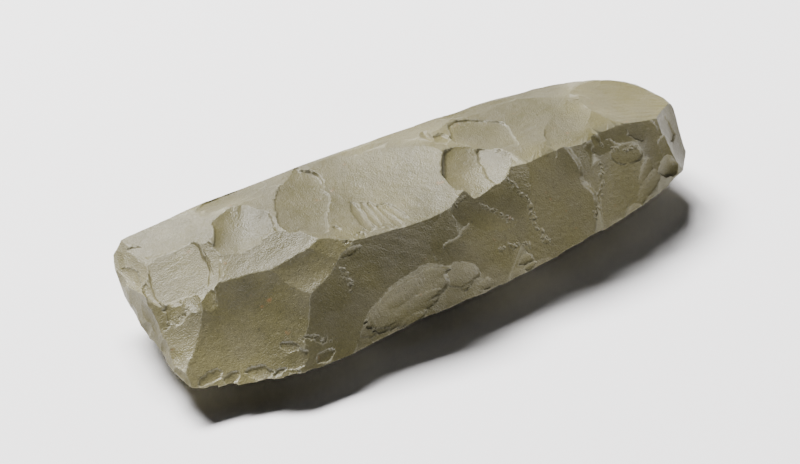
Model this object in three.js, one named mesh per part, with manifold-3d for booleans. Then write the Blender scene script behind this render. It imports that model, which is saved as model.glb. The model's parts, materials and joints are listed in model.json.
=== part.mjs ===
// A neolithic axe head of fine-grained greenish stone, flaked all over and never ground. It is one solid.
// It lies on its lower face, with +X from the broad cutting edge to the rounded butt, -Y on the side of
// the steep flank, and +Z up. The origin is on the ground, under the middle of the axe.
// The stone is shaped as a knapper shapes it: a blank is roughed out, and then each flake scar is struck
// off it. A scar is a shallow bowl, and where two bowls meet they leave a sharp ridge.

import * as THREE from "three";
import { mergeVertices } from "three/addons/utils/BufferGeometryUtils.js";
import Module from "manifold-3d";

// Driving dimensions, in millimetres.
const LENGTH = 150;
const WIDTH = 59;
const THICKNESS = 27;
const RESTING_DEPTH = 1.2; // how far the resting face is worn up into the belly

// The blank's cross-section where it is thickest, as shares of the half width and of the thickness:
// the corners run from the near seam over the top to the far seam, and back under the belly.
const NEAR_SEAM = 0.3;
const FAR_SEAM = 0.6;
const SECTION = [
  [-1.0, NEAR_SEAM], // low on the steep flank
  [-0.42, 1.0], // main ridge, between the flank and the top face
  [0.3, 0.98],
  [0.86, 0.82], // far shoulder
  [1.0, FAR_SEAM],
  [0.5, 0.0], // belly
  [-0.45, 0.0],
];
const BUTT_RISE = 0.2; // how much higher the near seam is at the butt, as a share of the thickness
const EDGE_BOW = 0.028; // how far the far corner of the cutting edge stands back, as a share of the length
const EDGE_LEAD = -0.17; // which part of the cutting edge leads, as a share of the half width

// How a width or thickness falls off towards an end: a share of "end" is left at the end itself, and the
// rest goes as (1 - t^power)^(1 / root), with t from 0 at "start" to 1 at the end. The starts are places
// along the axe, from -1 at the cutting edge to 1 at the butt.
const TAPER = {
  edgeNear: { start: 0, end: 0.86, power: 4, root: 2 },
  edgeFar: { start: 0, end: 0.97, power: 5, root: 2 },
  edgeTop: { start: 0, end: 0.2, power: 3.2, root: 1.3 },
  edgeBelly: { start: 0, end: 0.2, power: 3.2, root: 1.3 },
  buttNear: { start: -0.6, end: 0.15, power: 1, root: 2.7 },
  buttFar: { start: 0, end: 0.4, power: 3.6, root: 1.9 },
  buttTop: { start: 0, end: 0.42, power: 4, root: 2 },
  buttBelly: { start: 0, end: 0.3, power: 2, root: 1.5 },
};
const STATIONS = 30; // rings of vertices along the blank
const SPLITS = 2; // steps along each side of the cross-section

// How finely a scar is made: its bowl reaches out past the scar's own rim, where it leaves the stone.
const BOWL_REACH = 2.2;
const BOWL_RINGS = 4;
const BOWL_SIDES = 22;

// The flake scars. "at" is the middle of a scar's floor, as shares of the length, width and thickness.
// "lean" tips its face towards the steep flank and "pitch" tips it towards the butt, in degrees; "turn" is
// the way the flake ran, from the butt's direction round to the far side. "long" and "wide" are shares of
// the length, and "dish" is how hollow the scar is, as a share of its own length.
const DISH = 0.03;
const FLAKES = [
  // top face, from the cutting edge to the butt
  { at: [-0.395, 0.38, 0.66], lean: -7, pitch: -13, turn: -80, long: 0.2, wide: 0.17 },
  { at: [-0.285, 0.4, 0.755], lean: -14, pitch: 2, turn: -80, long: 0.13, wide: 0.16 },
  { at: [-0.29, 0.16, 0.815], lean: 3, pitch: -9, turn: -100, long: 0.085, wide: 0.08, dish: 0.05 },
  { at: [-0.335, 0.02, 0.77], lean: 10, pitch: -9, turn: 100, long: 0.12, wide: 0.16 },
  { at: [-0.2, 0.26, 0.835], lean: -8, pitch: -6, turn: 90, long: 0.26, wide: 0.13, dish: 0.02 },
  { at: [-0.295, -0.15, 0.8], lean: 27, pitch: 1, turn: 90, long: 0.11, wide: 0.12, dish: 0.04 },
  { at: [-0.045, 0.2, 0.82], lean: -2, pitch: -5, turn: -80, long: 0.36, wide: 0.22, dish: 0.022 },
  { at: [0.1, 0.0, 0.85], lean: 4, pitch: -10, turn: 60, long: 0.13, wide: 0.09, dish: 0.05, reach: 1.2 },
  { at: [0.225, 0.25, 0.83], lean: -8, pitch: 0, turn: -80, long: 0.28, wide: 0.26, dish: 0.025 },
  { at: [0.43, 0.1, 0.78], lean: -6, pitch: 10, turn: -100, long: 0.22, wide: 0.17 },
  { at: [0.495, 0.08, 0.75], lean: -10, pitch: 42, turn: 180, long: 0.08, wide: 0.12 },
  // cutting edge
  { at: [-0.41, 0.12, 0.66], lean: 10, pitch: -19, turn: 0, long: 0.12, wide: 0.13, reach: 1.1 },
  { at: [-0.46, 0.34, 0.56], lean: -4, pitch: -32, turn: 0, long: 0.09, wide: 0.11 },
  { at: [-0.44, -0.08, 0.53], lean: 20, pitch: -26, turn: 0, long: 0.1, wide: 0.1 },
  { at: [-0.492, 0.2, 0.42], lean: 10, pitch: -65, turn: 90, long: 0.12, wide: 0.06 },
  { at: [-0.494, -0.05, 0.32], lean: 10, pitch: -65, turn: 90, long: 0.12, wide: 0.06 },
  { at: [-0.492, -0.34, 0.24], lean: 20, pitch: -60, turn: 90, long: 0.14, wide: 0.08 },
  // steep flank
  { at: [-0.39, -0.225, 0.42], lean: 31, pitch: -10, turn: 90, long: 0.2, wide: 0.18, dish: 0.05 },
  { at: [-0.175, -0.305, 0.575], lean: 44, pitch: -3, turn: 90, long: 0.2, wide: 0.34, dish: 0.04 },
  { at: [-0.15, -0.39, 0.34], lean: 56, pitch: 6, turn: 90, long: 0.12, wide: 0.16, dish: 0.06 },
  { at: [-0.01, -0.385, 0.37], lean: 58, pitch: -4, turn: 90, long: 0.09, wide: 0.12, dish: 0.05 },
  { at: [0.065, -0.355, 0.45], lean: 54, pitch: 2, turn: 90, long: 0.14, wide: 0.16, dish: 0.04 },
  { at: [0.105, -0.235, 0.67], lean: 38, pitch: 0, turn: 90, long: 0.09, wide: 0.1, dish: 0.06 },
  { at: [0.205, -0.31, 0.46], lean: 46, pitch: 4, turn: 90, long: 0.3, wide: 0.17, dish: 0.05 },
  { at: [0.34, -0.22, 0.56], lean: 54, pitch: 6, turn: 90, long: 0.16, wide: 0.1, dish: 0.05 },
  { at: [0.4, -0.2, 0.56], lean: 50, pitch: 20, turn: 90, long: 0.14, wide: 0.06, dish: 0.04 },
  { at: [0.455, -0.14, 0.56], lean: 46, pitch: 42, turn: 120, long: 0.13, wide: 0.08 },
  { at: [0.36, -0.19, 0.745], lean: 26, pitch: 6, turn: 90, long: 0.05, wide: 0.1, dish: 0.05 },
];

// Rows of scars on the faces that lie hidden, each row laid along the blank: "corner" is where on its
// cross-section the row runs, "deep" how far the scars bite, as a share of the thickness, and "from" where
// along the blank the row starts, from -1 at the cutting edge to 1 at the butt.
const ROWS = [
  { corner: [-0.5, 0.02], lean: 166, deep: 0.09, long: 0.17, wide: 0.17, from: -0.6, count: 6 }, // near belly
  { corner: [0.4, 0.02], lean: -167, deep: 0.09, long: 0.17, wide: 0.18, from: -0.7, count: 6 }, // far belly
  { corner: [0.75, 0.3], lean: -132, deep: 0.05, long: 0.14, wide: 0.17, from: -0.8, count: 6 }, // under far side
  { corner: [0.96, 0.72], lean: -64, deep: 0.035, long: 0.09, wide: 0.12, from: -0.74, count: 8 }, // far shoulder
];
const ROW_END = 0.8; // where along the blank every row ends
const END_BITE = 0.2; // how deep a scar at an end of the blank bites, against one in its middle
const SCATTER = { place: 0.4, angle: 7, size: 0.2 }; // how much one scar of a row differs from the next

const wasm = await Module();
wasm.setup();

function solidFrom(geometry) {
  const bare = geometry.clone();
  bare.deleteAttribute("normal");
  bare.deleteAttribute("uv");
  const merged = mergeVertices(bare, 1e-4);
  return new wasm.Manifold(
    new wasm.Mesh({
      numProp: 3,
      vertProperties: merged.attributes.position.array,
      triVerts: new Uint32Array(merged.index.array),
    }),
  );
}

function geometryFrom(solid) {
  const mesh = solid.getMesh();
  const geometry = new THREE.BufferGeometry();
  geometry.setAttribute("position", new THREE.BufferAttribute(mesh.vertProperties, 3));
  geometry.setIndex(new THREE.BufferAttribute(mesh.triVerts, 1));
  geometry.computeVertexNormals();
  return geometry;
}

function taper(u, { start, end, power, root }) {
  const t = THREE.MathUtils.clamp((u - start) / (1 - start), 0, 1);
  return end + (1 - end) * Math.pow(1 - Math.pow(t, power), 1 / root);
}

// The corner-to-corner outline of the cross-section, with each side split into equal steps.
function sectionOutline() {
  return SECTION.flatMap(([y, z], i) => {
    const [nextY, nextZ] = SECTION[(i + 1) % SECTION.length];
    return Array.from({ length: SPLITS }, (_, k) => [
      y + ((nextY - y) * k) / SPLITS,
      z + ((nextZ - z) * k) / SPLITS,
    ]);
  });
}

// A point of the blank, from a place u along it and a corner of the cross-section. The section is squeezed
// towards the line between its two seams, which becomes the cutting edge at one end.
function blankPoint(u, [y, z]) {
  const edge = Math.max(-u, 0);
  const seam = THREE.MathUtils.lerp(NEAR_SEAM, FAR_SEAM, (y + 1) / 2);
  const lifted = seam + (BUTT_RISE * THREE.MathUtils.smoothstep(u, -0.3, 1) * (1 - y)) / 2;
  const near = y < 0;
  const width = taper(edge, near ? TAPER.edgeNear : TAPER.edgeFar) *
    taper(u, near ? TAPER.buttNear : TAPER.buttFar);
  const top = z > seam;
  const height = taper(edge, top ? TAPER.edgeTop : TAPER.edgeBelly) *
    taper(u, top ? TAPER.buttTop : TAPER.buttBelly);
  const bow = (EDGE_BOW * Math.pow(y - EDGE_LEAD, 2) * Math.pow(edge, 4)) / Math.pow(1 - EDGE_LEAD, 2);
  return [
    (u / 2 + bow) * LENGTH,
    (y * width * WIDTH) / 2,
    (lifted + (z - lifted) * height) * THICKNESS - RESTING_DEPTH,
  ];
}

// The roughed-out blank: a sphere whose rings are reshaped into the cross-section. The last ring at each
// end lies flat against its pole, so both ends are blunt.
function blank() {
  const outline = sectionOutline();
  const geometry = new THREE.SphereGeometry(1, outline.length, STATIONS);
  const position = geometry.attributes.position;
  const perRing = outline.length + 1;
  for (let i = 0; i < position.count; i++) {
    const ring = Math.floor(i / perRing);
    const pole = ring === 0 || ring === STATIONS;
    const turn = (THREE.MathUtils.clamp(ring - 1, 0, STATIONS - 2) / (STATIONS - 2)) * Math.PI;
    const corner = pole ? [0, (NEAR_SEAM + FAR_SEAM) / 2] : outline[(i % perRing) % outline.length];
    position.setXYZ(i, ...blankPoint(-Math.cos(turn), corner));
  }
  return solidFrom(geometry);
}

// The tool that takes one flake off: everything above a shallow bowl, lying over the scar.
function flakeTool({ at, lean, pitch, turn, long, wide, dish = DISH, reach = BOWL_REACH }) {
  const profile = [];
  for (let i = 0; i <= BOWL_RINGS; i++) {
    const out = (reach * i) / BOWL_RINGS;
    profile.push(new THREE.Vector2(out, dish * long * LENGTH * out * out));
  }
  const lid = profile[BOWL_RINGS].y + THICKNESS;
  profile.push(new THREE.Vector2(reach, lid), new THREE.Vector2(0, lid));
  const geometry = new THREE.LatheGeometry(profile, BOWL_SIDES);
  geometry.scale((long * LENGTH) / 2, 1, (wide * LENGTH) / 2);

  const tip = THREE.MathUtils.degToRad(pitch);
  const roll = THREE.MathUtils.degToRad(lean);
  const outward = new THREE.Vector3(
    Math.sin(tip),
    -Math.sin(roll) * Math.cos(tip),
    Math.cos(roll) * Math.cos(tip),
  );
  const buttward = new THREE.Vector3(1, 0, 0).projectOnPlane(outward).normalize();
  const run = buttward.applyAxisAngle(outward, THREE.MathUtils.degToRad(turn));
  const across = new THREE.Vector3().crossVectors(run, outward);
  geometry.applyMatrix4(new THREE.Matrix4().makeBasis(run, outward, across));
  geometry.translate(at[0] * LENGTH, at[1] * WIDTH, at[2] * THICKNESS);
  return solidFrom(geometry);
}

// The scars of one row. Each is laid flat along the blank, then moved and turned a little by chance.
function rowFlakes({ corner, lean, deep, long, wide, from, count }, row) {
  const flakes = [];
  for (let i = 0; i < count; i++) {
    const chance = (k) => THREE.MathUtils.seededRandom(k + 10 * i + 1000 * (row + 1)) - 0.5;
    const u = THREE.MathUtils.lerp(from, ROW_END, (i + SCATTER.place * chance(1)) / (count - 1));
    const [x, y, z] = blankPoint(u, corner);
    const [dx, dy, dz] = blankPoint(u + 0.02, corner).map((v, k) => v - [x, y, z][k]);
    const roll = THREE.MathUtils.degToRad(lean);
    const pitch = THREE.MathUtils.radToDeg(Math.atan2(Math.sin(roll) * dy - Math.cos(roll) * dz, dx));
    const bite = deep * THREE.MathUtils.lerp(1, END_BITE, u * u) * (1 + SCATTER.size * chance(2));
    flakes.push({
      at: [
        x / LENGTH,
        y / WIDTH + (bite * Math.sin(roll) * THICKNESS) / WIDTH,
        z / THICKNESS - bite * Math.cos(roll),
      ],
      lean: lean + SCATTER.angle * chance(3),
      pitch: pitch + SCATTER.angle * chance(4),
      turn: 90 + 3 * SCATTER.angle * chance(5),
      long: long * (1 + SCATTER.size * chance(6)),
      wide: wide * (1 + SCATTER.size * chance(7)),
    });
  }
  return flakes;
}

function axeHead() {
  const halfSpace = new THREE.BoxGeometry(LENGTH * 2, WIDTH * 2, THICKNESS * 2);
  halfSpace.translate(0, 0, THICKNESS);
  let solid = blank();
  for (const flake of [...FLAKES, ...ROWS.flatMap(rowFlakes)]) solid = solid.subtract(flakeTool(flake));
  solid = solid.intersect(solidFrom(halfSpace));
  const geometry = geometryFrom(solid);
  geometry.computeBoundingBox();
  const middle = geometry.boundingBox.getCenter(new THREE.Vector3());
  geometry.translate(-middle.x, -middle.y, 0);
  const material = new THREE.MeshStandardMaterial({ color: 0x8c8a6e, roughness: 0.62, metalness: 0 });
  const mesh = new THREE.Mesh(geometry, material);
  mesh.name = "axe_head";
  return mesh;
}

const axe = new THREE.Group();
axe.add(axeHead());

export default axe;
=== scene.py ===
"""The looks of a flaked neolithic axe head: the solid is struck again, scar by scar, with fine tools.

Every scar of the solid is cut once more into a copy of its mesh, by a dense bowl that carries the marks
of a real flake: ripples round the point of impact, fine rays, and a slight unevenness. Then come plain
scars on the hidden faces, smaller scars and rough lines where the photograph shows them, and chips along
the ridges and seams. Places on the solid's own scars are shares of the axe's length, width and thickness,
as in the solid. Everything else is in metres, and angles are in degrees, unless a comment says otherwise.
"""

import json
import math
import random

import bmesh
import bpy
import numpy as np
from mathutils import Matrix, Vector
from mathutils.bvhtree import BVHTree

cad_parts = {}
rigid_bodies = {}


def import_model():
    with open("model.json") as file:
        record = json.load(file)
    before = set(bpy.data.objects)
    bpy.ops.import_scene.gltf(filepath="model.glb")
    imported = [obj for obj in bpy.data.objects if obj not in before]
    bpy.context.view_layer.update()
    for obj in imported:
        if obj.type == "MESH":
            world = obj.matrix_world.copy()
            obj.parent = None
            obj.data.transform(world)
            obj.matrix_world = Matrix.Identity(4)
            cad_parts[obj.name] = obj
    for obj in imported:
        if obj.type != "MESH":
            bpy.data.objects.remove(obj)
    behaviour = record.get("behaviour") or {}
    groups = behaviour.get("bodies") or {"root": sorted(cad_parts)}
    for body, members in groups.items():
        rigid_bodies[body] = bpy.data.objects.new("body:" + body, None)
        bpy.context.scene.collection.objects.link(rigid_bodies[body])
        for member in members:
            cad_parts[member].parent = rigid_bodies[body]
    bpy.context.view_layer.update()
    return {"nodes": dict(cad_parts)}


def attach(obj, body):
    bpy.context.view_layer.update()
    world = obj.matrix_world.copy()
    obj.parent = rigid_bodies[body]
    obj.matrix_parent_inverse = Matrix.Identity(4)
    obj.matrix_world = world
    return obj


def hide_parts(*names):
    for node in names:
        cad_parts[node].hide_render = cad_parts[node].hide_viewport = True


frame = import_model()
cad = frame["nodes"]["axe_head"]

# The solid's driving dimensions, and how far it was moved to stand over the origin.
LENGTH = 0.150
WIDTH = 0.059
THICKNESS = 0.027
CENTRE = Vector((0.00015, 0.00025, 0.0))

# The spacing of the points on a bowl: of the solid's scars, of a hidden face's, and of a small chip.
GRID = 0.00055
HIDDEN_GRID = 0.0009
CHIP_GRID = 0.0004
SINK = 0.00013  # how much deeper a fine bowl cuts than the solid's, so that it takes all its facets
SHARP = math.radians(24)  # ridges at least this sharp are left crisp
JOINED = 1e-7  # corners of the solid's mesh nearer than this are one
HASH = (127.1, 311.7, 74.7, 43758.5453)  # numbers that scatter the noise's values

# Where a scar's way out is looked at, for stone that stands in it: over its floor, by NUDGE and a share of
# its length, in its middle and at its corners, by a share of its size.
NUDGE, OPEN_LIFT, OPEN_CORNER = 0.0003, 0.25, 0.6

# A bowl's rim. Past its reach, as a share of the scar's own half size, it rises as steeply as WALL says.
WALL = 1.2
WALL_WIDTH = 0.2
RIM_WAVE = 0.06  # how far the reach varies round the rim, as a share of it
FEWEST = 8  # the fewest steps of a bowl's grid

# The marks in a bowl. IMPACT is how far before the middle the blow fell, and RIPPLE_STEP the distance from
# ripple to ripple, both as shares of the scar's length; the step also has a least and a most.
RIPPLE, RAYS, SWELL, GRAIN = 0.00005, 0.00016, 0.00022, 0.000035  # heights
IMPACT = 0.55
RIPPLE_STEP, RIPPLE_LEAST, RIPPLE_MOST = 0.07, 0.0008, 0.0032
RIPPLE_BEND = 0.18  # how far the ripples wander, as a share of the scar's length
RIPPLE_PINCH = 0.8  # how much steeper a ripple is on one side
RAY_COUNT = 45  # how many rays there are to a radian
RAY_WANDER, RAY_LENGTH, RAY_PATCH = 0.006, 0.009, 0.02  # over what distances the rays bend, break and fade
SWELL_SIZE, GRAIN_SIZE = 0.011, 0.0016  # the sizes of the unevenness and of the grain

# The camera's place, as an angle round the axe and a height over the floor, and its lens in millimetres.
TARGET = Vector((-0.0068, -0.001, 0.0126)) - CENTRE
CAMERA = dict(azimuth=-31, elevation=38, distance=0.624, lens=116)
SENSOR = 36  # the width of its sensor, in millimetres
PHOTO = (800, 464)  # the photograph's width and height, in pixels

# The lights: where each stands from the axe, how far off, its width and height, and its power in watts.
KEY = dict(towards=(0.1, 0.72, 0.68), distance=2.5, size=(1.5, 0.5), power=218, colour=(1, 0.99, 0.97))
SHEEN = dict(KEY, towards=(-0.06, 0.75, 0.66), size=(1.1, 0.5), power=130)
SIDE = dict(towards=(1.0, 0.1, 0.8), distance=2.5, size=(1.6, 1.0), power=4, colour=(1, 0.99, 0.98))
FRONT = dict(towards=(-0.32, -0.88, 0.22), distance=2.5, size=(1.5, 0.7), power=74, colour=(0.94, 0.94, 1))
SKY_COLOUR = (1, 0.98, 0.97, 1)
SKY_STRENGTH = 0.005
FLOOR_COLOUR = (0.9, 0.89, 0.91, 1)
FLOOR_SIZE = 6

STONE_LIGHT = (0.118, 0.105, 0.046, 1)
STONE_DARK = (0.068, 0.061, 0.026, 1)
STONE_GREY = (0.104, 0.093, 0.066, 1)
STONE_SPECK = (0.035, 0.032, 0.018, 1)
STONE_PALE = (0.26, 0.25, 0.18, 1)
STONE_RUST = (0.18, 0.09, 0.035, 1)
# A pale colour painted along the crisp ridges as a highlight.
STONE_RIDGE_HIGHLIGHT = (0.32, 0.31, 0.24, 1)

# The stone's noises: scale, detail and roughness of each.
NOISES = dict(
    broad=(32, 3, 0.55),
    cloudy=(110, 5, 0.55),
    grain=(1500, 3, 0.7),
    spots=(240, 2, 0.55),
    dents=(700, 5, 0.65),
    pores=(2600, 2, 0.55),
)
# Its layers of colour, over STONE_DARK: a noise, the values of it between which the layer comes in, how
# much of it there is at most, and its colour.
LAYERS = [
    ("broad", 0.35, 0.65, 1, STONE_LIGHT),
    ("cloudy", 0.3, 0.75, 0.35, STONE_GREY),
    ("grain", 0.52, 0.72, 0.5, STONE_SPECK),
    ("grain", 0.42, 0.25, 0.25, STONE_PALE),
    ("spots", 0.7, 0.78, 0.6, STONE_RUST),
]
# How much of the painted ridge highlight is laid on, at most.
RIDGE_HIGHLIGHT_SHARE = 0.3
ROUGHNESS = (0.36, 0.46)
FLOOR_ROUGHNESS = 0.7
IOR = 1.54
SPECULAR = 0.36
BUMP = dict(Strength=0.6, Distance=0.00022)

# The flake scars of the solid. "at" is the middle of a scar's floor. "lean" tips its face towards the steep
# flank and "pitch" towards the butt, in degrees; "turn" is the way the flake ran, from the butt's direction
# round to the far side. "dish" is how hollow it is, as a share of its own length. "ripple", "rays" and
# "rough" are how strong its marks are.
DISH = 0.03
REACH = 2.2
FLAKES = [
    # top face, from the cutting edge to the butt
    dict(at=(-0.395, 0.38, 0.66), lean=-7, pitch=-13, turn=-80, long=0.2, wide=0.17),
    dict(at=(-0.285, 0.4, 0.755), lean=-14, pitch=2, turn=-80, long=0.13, wide=0.16),
    dict(at=(-0.29, 0.16, 0.815), lean=3, pitch=-9, turn=-100, long=0.085, wide=0.08, dish=0.05),
    dict(at=(-0.335, 0.02, 0.77), lean=10, pitch=-9, turn=100, long=0.12, wide=0.16),
    dict(at=(-0.2, 0.26, 0.835), lean=-8, pitch=-6, turn=90, long=0.26, wide=0.13, dish=0.02),
    dict(at=(-0.295, -0.15, 0.8), lean=27, pitch=1, turn=90, long=0.11, wide=0.12, dish=0.04),
    dict(at=(-0.045, 0.2, 0.82), lean=-2, pitch=-5, turn=-80, long=0.36, wide=0.22, dish=0.022),
    dict(at=(0.1, 0.0, 0.85), lean=4, pitch=-10, turn=60, long=0.13, wide=0.09, dish=0.05, reach=1.2),
    dict(at=(0.225, 0.25, 0.83), lean=-8, pitch=0, turn=-80, long=0.28, wide=0.26, dish=0.025),
    dict(at=(0.43, 0.1, 0.78), lean=-6, pitch=10, turn=-100, long=0.22, wide=0.17),
    dict(at=(0.495, 0.08, 0.75), lean=-10, pitch=42, turn=180, long=0.08, wide=0.12),
    # cutting edge
    dict(at=(-0.41, 0.12, 0.66), lean=10, pitch=-19, turn=0, long=0.12, wide=0.13, reach=1.1),
    dict(at=(-0.46, 0.34, 0.56), lean=-4, pitch=-32, turn=0, long=0.09, wide=0.11, reach=1.6),
    dict(at=(-0.44, -0.08, 0.53), lean=20, pitch=-26, turn=0, long=0.1, wide=0.1, reach=1.6),
    dict(at=(-0.492, 0.2, 0.42), lean=10, pitch=-65, turn=90, long=0.12, wide=0.06),
    dict(at=(-0.494, -0.05, 0.32), lean=10, pitch=-65, turn=90, long=0.12, wide=0.06),
    dict(at=(-0.492, -0.34, 0.24), lean=20, pitch=-60, turn=90, long=0.14, wide=0.08),
    # steep flank
    dict(at=(-0.39, -0.225, 0.42), lean=31, pitch=-10, turn=90, long=0.2, wide=0.18, dish=0.05),
    dict(at=(-0.175, -0.305, 0.575), lean=44, pitch=-3, turn=90, long=0.2, wide=0.34, dish=0.04),
    dict(at=(-0.15, -0.39, 0.34), lean=56, pitch=6, turn=90, long=0.12, wide=0.16, dish=0.06),
    dict(at=(-0.01, -0.385, 0.37), lean=58, pitch=-4, turn=90, long=0.09, wide=0.12, dish=0.05),
    dict(at=(0.065, -0.355, 0.45), lean=54, pitch=2, turn=90, long=0.14, wide=0.16, dish=0.04),
    dict(at=(0.105, -0.235, 0.67), lean=38, pitch=0, turn=90, long=0.09, wide=0.1, dish=0.06),
    dict(at=(0.205, -0.31, 0.46), lean=46, pitch=4, turn=90, long=0.3, wide=0.17, dish=0.05),
    dict(at=(0.34, -0.22, 0.56), lean=54, pitch=6, turn=90, long=0.16, wide=0.1, dish=0.05),
    dict(at=(0.4, -0.2, 0.56), lean=50, pitch=20, turn=90, long=0.14, wide=0.06, dish=0.04),
    dict(at=(0.455, -0.14, 0.56), lean=46, pitch=42, turn=120, long=0.13, wide=0.08),
    dict(at=(0.36, -0.19, 0.745), lean=26, pitch=6, turn=90, long=0.05, wide=0.1, dish=0.05),
]

# Smaller scars, where the photograph shows them, by its pixels: where a scar starts, where it ends and a
# point of its long side; then how hollow it is, and how many degrees its floor dips towards its end and
# towards that side, where it leaves a step. A last value, where there is one, makes its corners square.
ROUND = 2  # the same value of a round scar
SEEN_REACH, STEPPED_REACH = 1.25, 1.1
SEEN_RAGGED = 0.16
SEEN_MARKS = dict(ripple=1.2, rays=0.6, rough=0.6)
SEEN_SCARS = [
    # along the far side
    ((205, 210), (262, 185), (232, 204), 0.01, 0, 0),
    ((262, 186), (322, 162), (292, 180), 0.008, 0, 0),
    ((318, 164), (385, 140), (352, 158), 0.008, 0, 0),
    ((378, 142), (446, 118), (412, 138), 0.008, 0, 0),
    ((440, 119), (512, 98), (476, 114), 0.01, 0, 0),
    ((508, 98), (572, 88), (540, 102), 0.008, 0, 0),
    ((566, 90), (618, 86), (592, 98), 0.008, 0, 0),
    # cutting edge
    ((127, 252), (163, 252), (141, 246), 0.012, 0, 1),
    ((121, 260), (168, 255), (144, 264), 0.02, 0, 1.5),
    ((150, 281), (204, 262), (173, 249), 0.006, 1.5, 1, 6),
    ((203, 250), (214, 275), (207, 261), 0.03, 0, 3),
    ((142, 284), (160, 306), (156, 293), 0.03, 0, -3),
    ((164, 296), (181, 306), (177, 297), 0.045, 2, 0),
    ((186, 289), (195, 309), (201, 297), 0.05, 2.4, 0),
    ((205, 290), (212, 319), (217, 302), 0.035, 1.6, 0),
    ((122, 270), (139, 285), (134, 271), 0.03, 0, 0),
    ((141, 303), (162, 337), (158, 316), 0.03, 0, 1.8),
    ((165, 312), (190, 306), (180, 322), 0.03, 0, -2),
    ((165, 340), (165, 355), (170, 347), 0.08, 0, 0),
    ((172, 368), (188, 378), (184, 369), 0.04, 0, 2),
    ((200, 384), (222, 370), (214, 382), 0.02, 0, 1),
    ((224, 384), (238, 372), (235, 382), 0.03, 0, 1),
    # shell near the edge
    ((240, 204), (238, 256), (263, 233), 0.045, 0, 0),
    ((244, 206), (250, 242), (263, 226), 0.05, 0, 0),
    ((222, 210), (234, 232), (240, 218), 0.03, 0, 0),
    ((246, 206), (249, 228), (260, 216), 0.05, 0, 0),
    ((266, 211), (283, 236), (280, 221), 0.02, 0, 2.4),
    ((277, 211), (293, 237), (291, 221), 0.02, 0, 2.4),
    ((300, 168), (306, 236), (329, 205), 0.012, 0, 1),
    ((268, 282), (350, 252), (318, 292), 0.045, 0, 0),
    ((333, 227), (341, 231), (338, 227), 0.05, 0, 5),
    # fan of rays on the ridge
    ((352, 203), (373, 232), (367, 214), 0.02, 0, 2.4),
    ((360, 202), (384, 230), (376, 213), 0.02, 0, 2.4),
    ((368, 203), (392, 228), (384, 212), 0.02, 0, 2.4),
    ((375, 204), (400, 226), (392, 212), 0.02, 0, 2.4),
    ((382, 204), (408, 222), (399, 210), 0.02, 0, 2.4),
    # middle of the top
    ((421, 131), (431, 141), (429, 132), 0.08, 0, 5),
    ((433, 139), (448, 140), (440, 134), 0.04, 0, 3),
    ((488, 146), (503, 180), (508, 160), 0.012, 0, 0),
    ((512, 146), (452, 124), (480, 117), 0.015, 0, 1),
    ((565, 147), (567, 98), (591, 118), 0.012, 0, 0.6),
    ((594, 134), (598, 147), (601, 139), 0.04, 0, 2),
    # butt
    ((628, 133), (657, 126), (643, 142), 0.012, 0, 1),
    ((592, 148), (622, 147), (607, 140), 0.02, 0, 1.8),
    ((612, 158), (640, 150), (625, 166), 0.012, 0, 0.8),
    ((668, 140), (665, 177), (657, 158), 0.01, 0, 0),
    ((656, 150), (630, 206), (650, 180), 0.02, 0, 0),
    ((660, 170), (636, 200), (655, 190), 0.02, 0, 0),
    ((660, 122), (673, 134), (671, 122), 0.015, 0.8, 0),
    # steep flank
    ((488, 222), (497, 283), (535, 248), 0.025, 0, 0),
    ((556, 160), (552, 258), (594, 205), 0.008, 0, 0),
    ((612, 162), (606, 226), (630, 192), 0.015, 0, 0),
    ((339, 258), (359, 246), (351, 255), 0.03, 0, -5),
    ((440, 216), (448, 264), (458, 240), 0.015, 0, 0),
    ((440, 277), (374, 321), (394, 289), 0.012, 0, 0),
    ((436, 292), (374, 330), (398, 304), 0.018, 0, 1),
    ((372, 318), (426, 283), (392, 292), 0.028, 0, 0),
    ((382, 326), (436, 292), (402, 301), 0.03, 0, 0),
    ((398, 326), (424, 310), (408, 313), 0.035, 0, 0),
    ((447, 282), (478, 264), (458, 262), 0.03, 0, 2),
    ((462, 291), (472, 273), (461, 281), 0.03, 0, 2),
    ((554, 243), (579, 228), (562, 228), 0.04, 0, 4),
    ((519, 262), (533, 256), (527, 264), 0.04, 0, 3),
    ((524, 270), (536, 262), (531, 269), 0.04, 0, 3),
    ((476, 288), (496, 280), (485, 279), 0.04, 0, 2),
    # low on the near side
    ((247, 373), (273, 373), (260, 366), 0.03, 0, 1.5),
    ((276, 364), (312, 356), (292, 351), 0.014, 0, 0.8),
    ((273, 376), (286, 368), (280, 375), 0.035, 0, -3),
    ((288, 372), (302, 372), (295, 369), 0.04, 0, 3),
    ((317, 361), (333, 351), (324, 350), 0.02, 0, 0),
    ((281, 344), (297, 350), (290, 341), 0.02, 0, 1),
]

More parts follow.
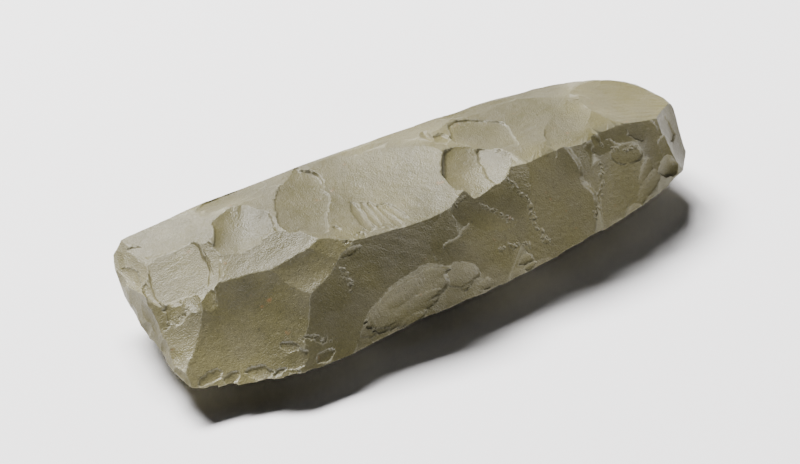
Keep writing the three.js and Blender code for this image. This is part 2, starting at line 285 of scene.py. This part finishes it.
# Rough lines of small chips, by pixels of the photograph: the line, how many, the smallest and the largest.
# Each chip lies up to LINE_SWAY pixels off its line, and leans as far as LINE_LEAN says. "bite" is how deep
# it sits, "slim" its width and "dish" how hollow it is, from least to most, as shares of its length.
LINE_SWAY = 2
LINE_LEAN = 0.25
LINE_CHIPS = dict(bite=(0.03, 0.08), slim=(0.35, 0.9), dish=(0.03, 0.08))
LINE_MARKS = dict(reach=1.2, ragged=0.35, rays=0.3, rough=0.2)
ROUGH_LINES = [
    (((600, 163), (604, 185), (598, 200), (596, 226)), 18, 0.0006, 0.0019),
    (((508, 181), (521, 193), (531, 206), (532, 217), (544, 235), (549, 245)), 26, 0.0006, 0.0021),
    (((344, 243), (358, 236), (373, 228)), 13, 0.00045, 0.0013),
    (((340, 266), (346, 275), (352, 290)), 11, 0.0006, 0.0016),
    (((498, 250), (512, 246), (532, 243)), 13, 0.0006, 0.0016),
    (((480, 205), (494, 210), (515, 222)), 13, 0.0006, 0.0018),
    (((452, 206), (466, 197), (486, 190)), 11, 0.0006, 0.0014),
    (((600, 145), (618, 150), (640, 146)), 11, 0.0006, 0.0016),
    (((165, 330), (178, 320), (190, 308)), 11, 0.0006, 0.0016),
    (((300, 340), (316, 336), (330, 342)), 13, 0.0006, 0.0018),
    (((495, 150), (506, 155), (513, 152)), 9, 0.00045, 0.0013),
]

# Scars on the faces that the last blows don't cover. Each row runs along the axe, at an angle round its
# length. "long" is a share of the axe's length, "turn" how far off straight down the scar runs, and the
# rest are as in the small chips.
FACE_ROWS = range(-118, 15, 32)
FACE_STEPS = 9
FACE_SHIFT = (0.3, 10)  # how far a scar lies off its place, in steps and in degrees
FACE_REGION = (0.94, 0.45)  # the share of the length that the rows cover, and the height they turn about
FACE_SCARS = dict(
    long=(0.07, 0.15), turn=40, lean=0.06, bite=(0.012, 0.03), slim=(0.7, 1.2), dish=(0.03, 0.06)
)
FACE_MARKS = dict(reach=1.6)

# Chips along the ridges: how far apart at least, how long from least to most, and between which heights as
# shares of the thickness. The seams' chips are larger than the top's. Each leans over its ridge as "lean"
# says, runs up to "turn" off straight down its face, and lies "down" it by a share of its length.
SEAM_CHIPS = dict(spacing=0.003, sizes=(0.0025, 0.006), heights=(0, 0.54))
TOP_CHIPS = dict(spacing=0.0035, sizes=(0.0008, 0.0024), heights=(0.54, 1))
RIDGE_CHIPS = dict(
    bite=(0.04, 0.11), slim=(0.6, 1.8), dish=(0.03, 0.08), lean=(0.05, 0.3), turn=30, down=0.3
)
RIDGE_MARKS = dict(reach=1.3, ragged=0.2, rays=0.3, rough=0.3)

# How the painted highlight of the ridges spreads to the points near them: how often, and how much of it
# stays each time.
SPREAD_ROUNDS, SPREAD_KEPT = 2, 0.7

# What the random draws start from, and the noise of each round of blows.
DRAWS = 7
SEEDS = dict(flakes=100, faces=4000, seen=7000, lines=8000, seams=9000, top=12000)
SEED_STEP = 31


def noise(x, y, seed):
    """Smooth noise from -1 to 1 with unit cells, for whole arrays of places."""
    column, row = np.floor(x), np.floor(y)
    across, along = x - column, y - row
    across, along = (t * t * (3 - 2 * t) for t in (across, along))

    def corner(i, j):
        mixed = np.sin((column + i) * HASH[0] + (row + j) * HASH[1] + seed * HASH[2]) * HASH[3]
        return 2 * (mixed - np.floor(mixed)) - 1

    low = corner(0, 0) * (1 - across) + corner(1, 0) * across
    high = corner(0, 1) * (1 - across) + corner(1, 1) * across
    return low * (1 - along) + high * along


def layered_noise(x, y, seed, layers):
    """Noise with finer and fainter layers added."""
    return sum(noise(x * 2**k, y * 2**k, seed + 17 * k) / 2**k for k in range(layers))


def tilted(lean, pitch):
    """The way out of the stone for a scar's lean and pitch."""
    roll, tip = math.radians(lean), math.radians(pitch)
    return Vector((math.sin(tip), -math.sin(roll) * math.cos(tip), math.cos(roll) * math.cos(tip)))


def laid(flake):
    """A scar given by shares and angles, as one with a place, a run and a way out, in metres."""
    outward = tilted(flake["lean"], flake["pitch"])
    buttward = Vector((1, 0, 0)) - outward * outward.x
    run = Matrix.Rotation(math.radians(flake["turn"]), 3, outward) @ buttward.normalized()
    placed = dict(flake, outward=outward, run=run)
    placed["place"] = Vector(flake["at"]) * Vector((LENGTH, WIDTH, THICKNESS)) - CENTRE
    placed["long"], placed["wide"] = flake["long"] * LENGTH, flake["wide"] * LENGTH
    placed["sink"] = SINK
    return placed


def bowl_height(run, across, flake, seed):
    """How high the fine bowl stands over the middle of its floor, for arrays of places on it."""
    long, wide = flake["long"], flake["wide"]
    power = flake.get("squareness", ROUND)
    out = (np.abs(2 * run / long) ** power + np.abs(2 * across / wide) ** power) ** (1 / power)
    around = np.arctan2(across / wide, run / long) * 1.3 + 4
    out = out * (1 + flake.get("ragged", 0) * layered_noise(around, out, seed + 2, 3))
    wave_in = RIM_WAVE * noise(np.arctan2(across, run) * 3 + 7, out, seed + 4)
    margin = flake.get("reach", REACH) * (1 - RIM_WAVE + wave_in)
    hollow = flake.get("dish", DISH) * long * out**2 + WALL * long * np.maximum(out - margin, 0)

    from_impact = run + IMPACT * long
    reach = np.hypot(from_impact, across)
    angle = np.arctan2(across, np.abs(from_impact) + 0.1 * long)
    along = np.clip(reach / long, 0, 1.4)

    bend = RIPPLE_BEND * long * noise(angle * 1.5 + 9, reach / long, seed + 3)
    step = np.clip(RIPPLE_STEP * long, RIPPLE_LEAST, RIPPLE_MOST)
    wave = np.sin(2 * np.pi * (reach + bend) / step + RIPPLE_PINCH * np.sin(2 * np.pi * reach / step))
    uneven = 0.5 + 0.5 * noise(reach / (0.35 * long) + 5, angle * 2, seed + 5)
    ripple = flake.get("ripple", 1) * RIPPLE * wave * uneven * along

    wander = 3 * noise(reach / RAY_WANDER, angle * 4, seed + 8)
    fan = noise(angle * RAY_COUNT + wander, reach / RAY_LENGTH, seed + 7)
    rim = np.clip(along - 0.35, 0, 1) * np.clip(0.3 + noise(angle * 3, reach / RAY_PATCH, seed + 6), 0, 1)
    rays = flake.get("rays", 1) * RAYS * np.abs(fan) * rim

    swell = SWELL * np.minimum(layered_noise(run / SWELL_SIZE, across / SWELL_SIZE, seed, 3), 0)
    grain = GRAIN * layered_noise(run / GRAIN_SIZE, across / GRAIN_SIZE, seed + 1, 2)
    rough = flake.get("rough", 1) * (swell + grain)
    return hollow - flake.get("sink", 0) + ripple - rays + rough


def cutter(name, flake, seed, grid):
    """The closed tool that takes one flake off: everything above its bowl."""
    reach = flake.get("reach", REACH) + WALL_WIDTH
    half_run, half_across = flake["long"] * reach / 2, flake["wide"] * reach / 2
    rows, columns = (max(FEWEST, round(2 * half / grid)) for half in (half_run, half_across))
    run, across = np.meshgrid(
        np.linspace(-half_run, half_run, rows + 1),
        np.linspace(-half_across, half_across, columns + 1),
        indexing="ij",
    )
    height = bowl_height(run, across, flake, seed)
    floor = np.stack([run, across, height], axis=-1).reshape(-1, 3)
    index = np.arange(len(floor)).reshape(rows + 1, columns + 1)
    rim = np.concatenate([index[0, :-1], index[:-1, -1], index[-1, :0:-1], index[:0:-1, 0]])
    lid = floor[rim].copy()
    lid[:, 2] = height.max() + min(THICKNESS / 2, flake["long"])
    lid_index = len(floor) + np.arange(len(rim))

    quads = np.stack([index[:-1, :-1], index[:-1, 1:], index[1:, 1:], index[1:, :-1]], axis=-1)
    quads = quads.reshape(-1, 4)
    walls = np.stack([rim, lid_index, np.roll(lid_index, -1), np.roll(rim, -1)], axis=-1)
    faces = [*quads.tolist(), *walls.tolist(), lid_index[::-1].tolist()]

    axes = np.array([flake["run"], flake["outward"].cross(flake["run"]), flake["outward"]])
    points = np.concatenate([floor, lid]) @ axes + np.array(flake["place"])
    mesh = bpy.data.meshes.new(name)
    mesh.from_pydata(points.tolist(), [], faces)
    return bpy.data.objects.new(name, mesh)


def strike(stone, flakes, grid, seed):
    """Takes the flakes off the stone, all at once."""
    tools = bpy.data.collections.new("tools")
    bpy.context.scene.collection.children.link(tools)
    for i, flake in enumerate(flakes):
        tools.objects.link(cutter(f"tool_{i}", flake, seed + SEED_STEP * i, grid))
    boolean = stone.modifiers.new("strike", "BOOLEAN")
    boolean.operation = "DIFFERENCE"
    boolean.solver = "MANIFOLD"
    boolean.operand_type = "COLLECTION"
    boolean.collection = tools
    struck = bpy.data.meshes.new_from_object(stone.evaluated_get(bpy.context.evaluated_depsgraph_get()))
    stone.modifiers.clear()
    stone.data = struck
    for tool in list(tools.objects):
        bpy.data.meshes.remove(tool.data)
    bpy.data.collections.remove(tools)


def closed_copy(source):
    """A copy of a node's mesh with its faces joined at their shared corners, so that it can be cut."""
    mesh = bmesh.new()
    mesh.from_mesh(source.data)
    bmesh.ops.remove_doubles(mesh, verts=mesh.verts, dist=JOINED)
    joined = bpy.data.meshes.new("axe_stone")
    mesh.to_mesh(joined)
    mesh.free()
    return joined


def camera_axes():
    """The photo camera's ways back, right and up."""
    azimuth, elevation = math.radians(CAMERA["azimuth"]), math.radians(CAMERA["elevation"])
    right = Vector((math.cos(azimuth), math.sin(azimuth), 0))
    back = Vector((right.y * math.cos(elevation), -right.x * math.cos(elevation), math.sin(elevation)))
    return back, right, back.cross(right)


def seen_at(pixel, surface):
    """The place and the way out of the surface that the photograph shows at a pixel."""
    back, right, up = camera_axes()
    scale = SENSOR / CAMERA["lens"] / PHOTO[0]
    across, down = pixel[0] - PHOTO[0] / 2, pixel[1] - PHOTO[1] / 2
    ray = (right * across - up * down) * scale - back
    place, normal, _, _ = surface.ray_cast(TARGET + back * CAMERA["distance"], ray.normalized())
    return place, normal


def seen_scars(stone):
    """The scars given by pixels, laid on the stone."""
    surface = BVHTree.FromObject(stone, bpy.context.evaluated_depsgraph_get())
    scars = []
    for start, end, side, dish, tip, roll, *corners in SEEN_SCARS:
        between = [tuple(a + (b - a) * t for a, b in zip(start, end)) for t in (0.5, 0.25, 0.75)]
        hits = [seen_at(pixel, surface) for pixel in (start, end, side, *between)]
        if any(place is None for place, _ in hits):
            continue
        start, end, side, middle = (place for place, _ in hits[:4])
        normal = sum((n for _, n in hits[3:]), Vector()).normalized()
        along = (end - start).normalized()
        outward = (normal - along * normal.dot(along)).normalized()
        aside = side - start
        aside = aside - along * aside.dot(along)
        aside = aside - outward * aside.dot(outward)
        long, wide = (end - start).length, 2 * aside.length
        dips = along * math.tan(math.radians(tip)) + aside.normalized() * math.tan(math.radians(roll))
        bite = dish * long + dips.dot(along) * long / 2 + abs(math.tan(math.radians(roll))) * wide / 2
        outward = (outward + dips).normalized()
        scars.append(
            dict(
                place=middle - normal * bite,
                outward=outward,
                run=(along - outward * along.dot(outward)).normalized(),
                long=long,
                wide=wide,
                dish=dish,
                squareness=corners[0] if corners else ROUND,
                reach=STEPPED_REACH if tip or roll else SEEN_REACH,
                ragged=0 if corners else SEEN_RAGGED,
                **SEEN_MARKS,
            )
        )
    return scars


def sway(chance, most):
    """A small step in a random direction."""
    return Vector([chance.uniform(-most, most) for _ in range(3)])


def rough_lines(stone, chance):
    """Small chips along the lines given by pixels."""
    surface = BVHTree.FromObject(stone, bpy.context.evaluated_depsgraph_get())
    chips = []
    for line, count, smallest, largest in ROUGH_LINES:
        for i in range(count):
            along = (i + chance.uniform(0.1, 0.9)) / count * (len(line) - 1)
            corner = int(along)
            ends = line[corner], line[corner + 1]
            pixel = tuple(
                a + (b - a) * (along - corner) + chance.uniform(-LINE_SWAY, LINE_SWAY)
                for a, b in zip(*ends)
            )
            place, normal = seen_at(pixel, surface)
            long = chance.uniform(smallest, largest)
            outward = (normal + sway(chance, LINE_LEAN)).normalized()
            place = place - normal * long * chance.uniform(*LINE_CHIPS["bite"])
            turn = Matrix.Rotation(chance.uniform(0, math.tau), 3, outward)
            chips.append(
                dict(
                    place=place,
                    outward=outward,
                    run=turn @ outward.orthogonal().normalized(),
                    long=long,
                    wide=long * chance.uniform(*LINE_CHIPS["slim"]),
                    dish=chance.uniform(*LINE_CHIPS["dish"]),
                    **LINE_MARKS,
                )
            )
    return [chip for chip in chips if in_the_open(chip, surface)]


def face_scars(stone, chance):
    """Scars all round the faces that the knapper's last blows don't cover: the belly and the far side."""
    surface = BVHTree.FromObject(stone, bpy.context.evaluated_depsgraph_get())
    step_shift, swing_shift = FACE_SHIFT
    covered, height = FACE_REGION
    turn = FACE_SCARS["turn"]
    scars = []
    for row, around in enumerate(FACE_ROWS):
        for step in range(FACE_STEPS):
            along = step + 0.5 * (row % 2) + chance.uniform(-step_shift, step_shift)
            along = along / (FACE_STEPS - 0.5) - 0.5
            swing = math.radians(around + chance.uniform(-swing_shift, swing_shift))
            outward = Vector((0, math.cos(swing), math.sin(swing)))
            origin = Vector((along * LENGTH * covered, 0, THICKNESS * height)) + outward * WIDTH
            place, normal, _, _ = surface.ray_cast(origin, -outward)
            if place is None:
                continue
            long = LENGTH * chance.uniform(*FACE_SCARS["long"])
            turned = Matrix.Rotation(math.radians(chance.uniform(-turn, turn)), 3, normal)
            run = turned @ normal.cross(Vector((1, 0, 0)))
            outward = (normal + sway(chance, FACE_SCARS["lean"])).normalized()
            scars.append(
                dict(
                    place=place - normal * long * chance.uniform(*FACE_SCARS["bite"]),
                    outward=outward,
                    run=(run - outward * run.dot(outward)).normalized(),
                    long=long,
                    wide=long * chance.uniform(*FACE_SCARS["slim"]),
                    dish=chance.uniform(*FACE_SCARS["dish"]),
                    **FACE_MARKS,
                )
            )
    return scars


def in_the_open(scar, surface):
    """Whether no stone stands over the scar, so that its tool takes off nothing else."""
    aside = scar["outward"].cross(scar["run"])
    start = scar["place"] + scar["outward"] * (NUDGE + scar["long"] * OPEN_LIFT)
    far = OPEN_CORNER
    for along, across in ((0, 0), (far, far), (far, -far), (-far, far), (-far, -far)):
        corner = start + scar["run"] * scar["long"] * along + aside * scar["wide"] * across
        if surface.ray_cast(corner, scar["outward"])[0]:
            return False
    return True


def crisp_edges(mesh):
    """The edges that stand out as ridges."""
    return [e for e in mesh.edges if len(e.link_faces) == 2 and e.calc_face_angle_signed(0) > SHARP]


def ridge_chips(solid, chance, spacing, sizes, heights):
    """Chips along the solid's ridges between two heights, each running down one of a ridge's faces."""
    mesh = bmesh.new()
    mesh.from_mesh(solid)
    mesh.normal_update()
    surface = BVHTree.FromBMesh(mesh)
    turn = RIDGE_CHIPS["turn"]
    taken, chips = [], []
    edges = crisp_edges(mesh)
    edges.sort(key=lambda e: tuple(round(c, 6) for c in e.verts[0].co + e.verts[1].co))
    chance.shuffle(edges)
    for edge in edges:
        middle = (edge.verts[0].co + edge.verts[1].co) / 2
        outside = not heights[0] * THICKNESS <= middle.z <= heights[1] * THICKNESS
        if outside or any((middle - other).length < spacing for other in taken):
            continue
        taken.append(middle)
        near, far = (edge.link_faces[k].normal for k in chance.sample((0, 1), 2))
        along = (edge.verts[0].co - edge.verts[1].co).normalized()
        down = along.cross(near)
        if down.dot(far) > 0:
            down = -down
        long = chance.uniform(*sizes)
        outward = (near + far * chance.uniform(*RIDGE_CHIPS["lean"])).normalized()
        down = (down - outward * down.dot(outward)).normalized()
        run = Matrix.Rotation(math.radians(chance.uniform(-turn, turn)), 3, outward) @ down
        bite = near * long * chance.uniform(*RIDGE_CHIPS["bite"])
        chips.append(
            dict(
                place=middle + down * long * RIDGE_CHIPS["down"] - bite,
                outward=outward,
                run=run,
                long=long,
                wide=long * chance.uniform(*RIDGE_CHIPS["slim"]),
                dish=chance.uniform(*RIDGE_CHIPS["dish"]),
                **RIDGE_MARKS,
            )
        )
    mesh.free()
    return [chip for chip in chips if in_the_open(chip, surface)]


def mark_ridges(mesh):
    """Writes how near each point is to a crisp ridge to the attribute "ridge", from 0 to 1: the mask of the
    painted ridge highlight.
    """
    work = bmesh.new()
    work.from_mesh(mesh)
    work.normal_update()
    near = np.zeros(len(work.verts))
    for edge in crisp_edges(work):
        for vert in edge.verts:
            near[vert.index] = 1
    pairs = np.array([[v.index for v in e.verts] for e in work.edges])
    work.free()
    for _ in range(SPREAD_ROUNDS):
        total, count = np.zeros_like(near), np.zeros_like(near)
        for one, other in (pairs.T, pairs.T[::-1]):
            np.add.at(total, one, near[other])
            np.add.at(count, one, 1)
        near = np.maximum(near * SPREAD_KEPT, total / count)
    mesh.attributes.new("ridge", "FLOAT", "POINT").data.foreach_set("value", near.astype(np.float32))


class Nodes:
    """Short calls for building a material's node tree."""

    def __init__(self, name):
        self.material = bpy.data.materials.new(name)
        self.material.use_nodes = True
        self.tree = self.material.node_tree
        self.shader = self.tree.nodes["Principled BSDF"]

    def add(self, kind, inputs=(), **settings):
        """A new node with the given values or links on its inputs."""
        node = self.tree.nodes.new(kind)
        for key, value in settings.items():
            setattr(node, key, value)
        for key, value in dict(inputs).items():
            self.put(node.inputs[key], value)
        return node

    def put(self, socket, value):
        """Links a socket to an input, or sets the input's own value."""
        if isinstance(value, bpy.types.NodeSocket):
            self.tree.links.new(value, socket)
        else:
            socket.default_value = value

    def mix(self, share, low, high):
        """One colour laid over another by a share."""
        node = self.add("ShaderNodeMix", data_type="RGBA")
        for key, value in (("Factor_Float", share), ("A_Color", low), ("B_Color", high)):
            self.put(next(i for i in node.inputs if i.identifier == key), value)
        return next(o for o in node.outputs if o.identifier == "Result_Color")

    def noise(self, where, scale, detail, roughness):
        """A noise's value at a place."""
        inputs = {"Vector": where, "Scale": scale, "Detail": detail, "Roughness": roughness}
        return self.add("ShaderNodeTexNoise", inputs).outputs["Fac"]

    def ramp(self, value, low, high, to_low, to_high):
        """A value brought smoothly from one range to another."""
        inputs = {"Value": value, "From Min": low, "From Max": high, "To Min": to_low, "To Max": to_high}
        return self.add("ShaderNodeMapRange", inputs, interpolation_type="SMOOTHSTEP").outputs["Result"]


def stone_material():
    """The stone: clouded olive, with specks and spots of rust, and a painted highlight of paler colour on
    its crisp ridges.
    """
    n = Nodes("stone")
    where = n.add("ShaderNodeTexCoord").outputs["Object"]
    noises = {name: n.noise(where, *values) for name, values in NOISES.items()}
    colour = STONE_DARK
    for name, low, high, share, tint in LAYERS:
        colour = n.mix(n.ramp(noises[name], low, high, 0, share), colour, tint)
    # Paints a highlight of pale colour on the crisp ridges, by the attribute that mark_ridges writes.
    ridge = n.add("ShaderNodeAttribute", attribute_name="ridge").outputs["Fac"]
    colour = n.mix(n.ramp(ridge, 0.3, 1, 0, RIDGE_HIGHLIGHT_SHARE), colour, STONE_RIDGE_HIGHLIGHT)
    n.put(n.shader.inputs["Base Color"], colour)
    n.put(n.shader.inputs["Roughness"], n.ramp(noises["cloudy"], 0.3, 0.7, *ROUGHNESS))
    n.put(n.shader.inputs["IOR"], IOR)
    n.put(n.shader.inputs["Specular IOR Level"], SPECULAR)
    height = n.add("ShaderNodeMath", {0: noises["dents"], 1: noises["pores"]}, operation="ADD")
    bump = n.add("ShaderNodeBump", dict(BUMP, Height=height.outputs["Value"]))
    n.put(n.shader.inputs["Normal"], bump.outputs["Normal"])
    return n.material


def floor_material():
    """The floor's plain pale finish."""
    n = Nodes("floor")
    n.put(n.shader.inputs["Base Color"], FLOOR_COLOUR)
    n.put(n.shader.inputs["Roughness"], FLOOR_ROUGHNESS)
    return n.material


def area_light(name, towards, distance, size, power, colour, glossy=True, only=None):
    """A soft light, as wide and as high as "size", shining at the axe from the given direction.

    It lights all things or, where "only" names one, that one alone. One that isn't glossy has no sheen.
    """
    light = bpy.data.lights.new(name, "AREA")
    light.shape = "RECTANGLE"
    light.size, light.size_y = size
    light.energy = power
    light.color = colour
    lamp = bpy.data.objects.new(name, light)
    lamp.location = TARGET + Vector(towards).normalized() * distance
    lamp.rotation_euler = Vector(towards).to_track_quat("Z", "Y").to_euler()
    lamp.visible_glossy = glossy
    bpy.context.scene.collection.objects.link(lamp)
    if only:
        lamp.light_linking.receiver_collection = bpy.data.collections.new(f"lit by {name}")
        lamp.light_linking.receiver_collection.objects.link(only)


def photo_camera():
    """The camera at the photograph's viewing angle."""
    back, _, _ = camera_axes()
    lens = bpy.data.cameras.new("camera")
    lens.lens = CAMERA["lens"]
    lens.sensor_width = SENSOR
    camera = bpy.data.objects.new("camera", lens)
    camera.location = TARGET + back * CAMERA["distance"]
    camera.rotation_euler = back.to_track_quat("Z", "Y").to_euler()
    bpy.context.scene.collection.objects.link(camera)
    bpy.context.scene.camera = camera


def pale_floor():
    """The floor under the axe, at height 0."""
    half = FLOOR_SIZE / 2
    corners = [(-half, -half, 0), (half, -half, 0), (half, half, 0), (-half, half, 0)]
    mesh = bpy.data.meshes.new("floor")
    mesh.from_pydata(corners, [], [(0, 1, 2, 3)])
    mesh.materials.append(floor_material())
    floor = bpy.data.objects.new("floor", mesh)
    bpy.context.scene.collection.objects.link(floor)


def soft_sky():
    """A faint even light from all round."""
    world = bpy.data.worlds.new("sky")
    world.use_nodes = True
    world.node_tree.nodes["Background"].inputs["Color"].default_value = SKY_COLOUR
    world.node_tree.nodes["Background"].inputs["Strength"].default_value = SKY_STRENGTH
    bpy.context.scene.world = world


def carved_stone():
    """The axe head: a copy of the solid, struck again with fine tools."""
    chance = random.Random(DRAWS)
    solid = closed_copy(cad)
    stone = bpy.data.objects.new("axe_stone", solid.copy())
    bpy.context.scene.collection.objects.link(stone)
    strike(stone, [laid(flake) for flake in FLAKES], GRID, SEEDS["flakes"])
    strike(stone, face_scars(stone, chance), HIDDEN_GRID, SEEDS["faces"])
    strike(stone, seen_scars(stone), CHIP_GRID, SEEDS["seen"])
    strike(stone, rough_lines(stone, chance), CHIP_GRID, SEEDS["lines"])
    strike(stone, ridge_chips(solid, chance, **SEAM_CHIPS), CHIP_GRID, SEEDS["seams"])
    strike(stone, ridge_chips(solid, chance, **TOP_CHIPS), CHIP_GRID, SEEDS["top"])
    bpy.data.meshes.remove(solid)
    stone.data.materials.clear()
    stone.data.materials.append(stone_material())
    stone.data.shade_smooth()
    stone.data.set_sharp_from_angle(angle=SHARP)
    mark_ridges(stone.data)
    return stone


stone = carved_stone()
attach(stone, "root")
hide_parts("axe_head")
pale_floor()
soft_sky()
area_light("key", **KEY, glossy=False)
area_light("sheen", **SHEEN)
area_light("side", **SIDE)
area_light("front", **FRONT, only=stone)
photo_camera()
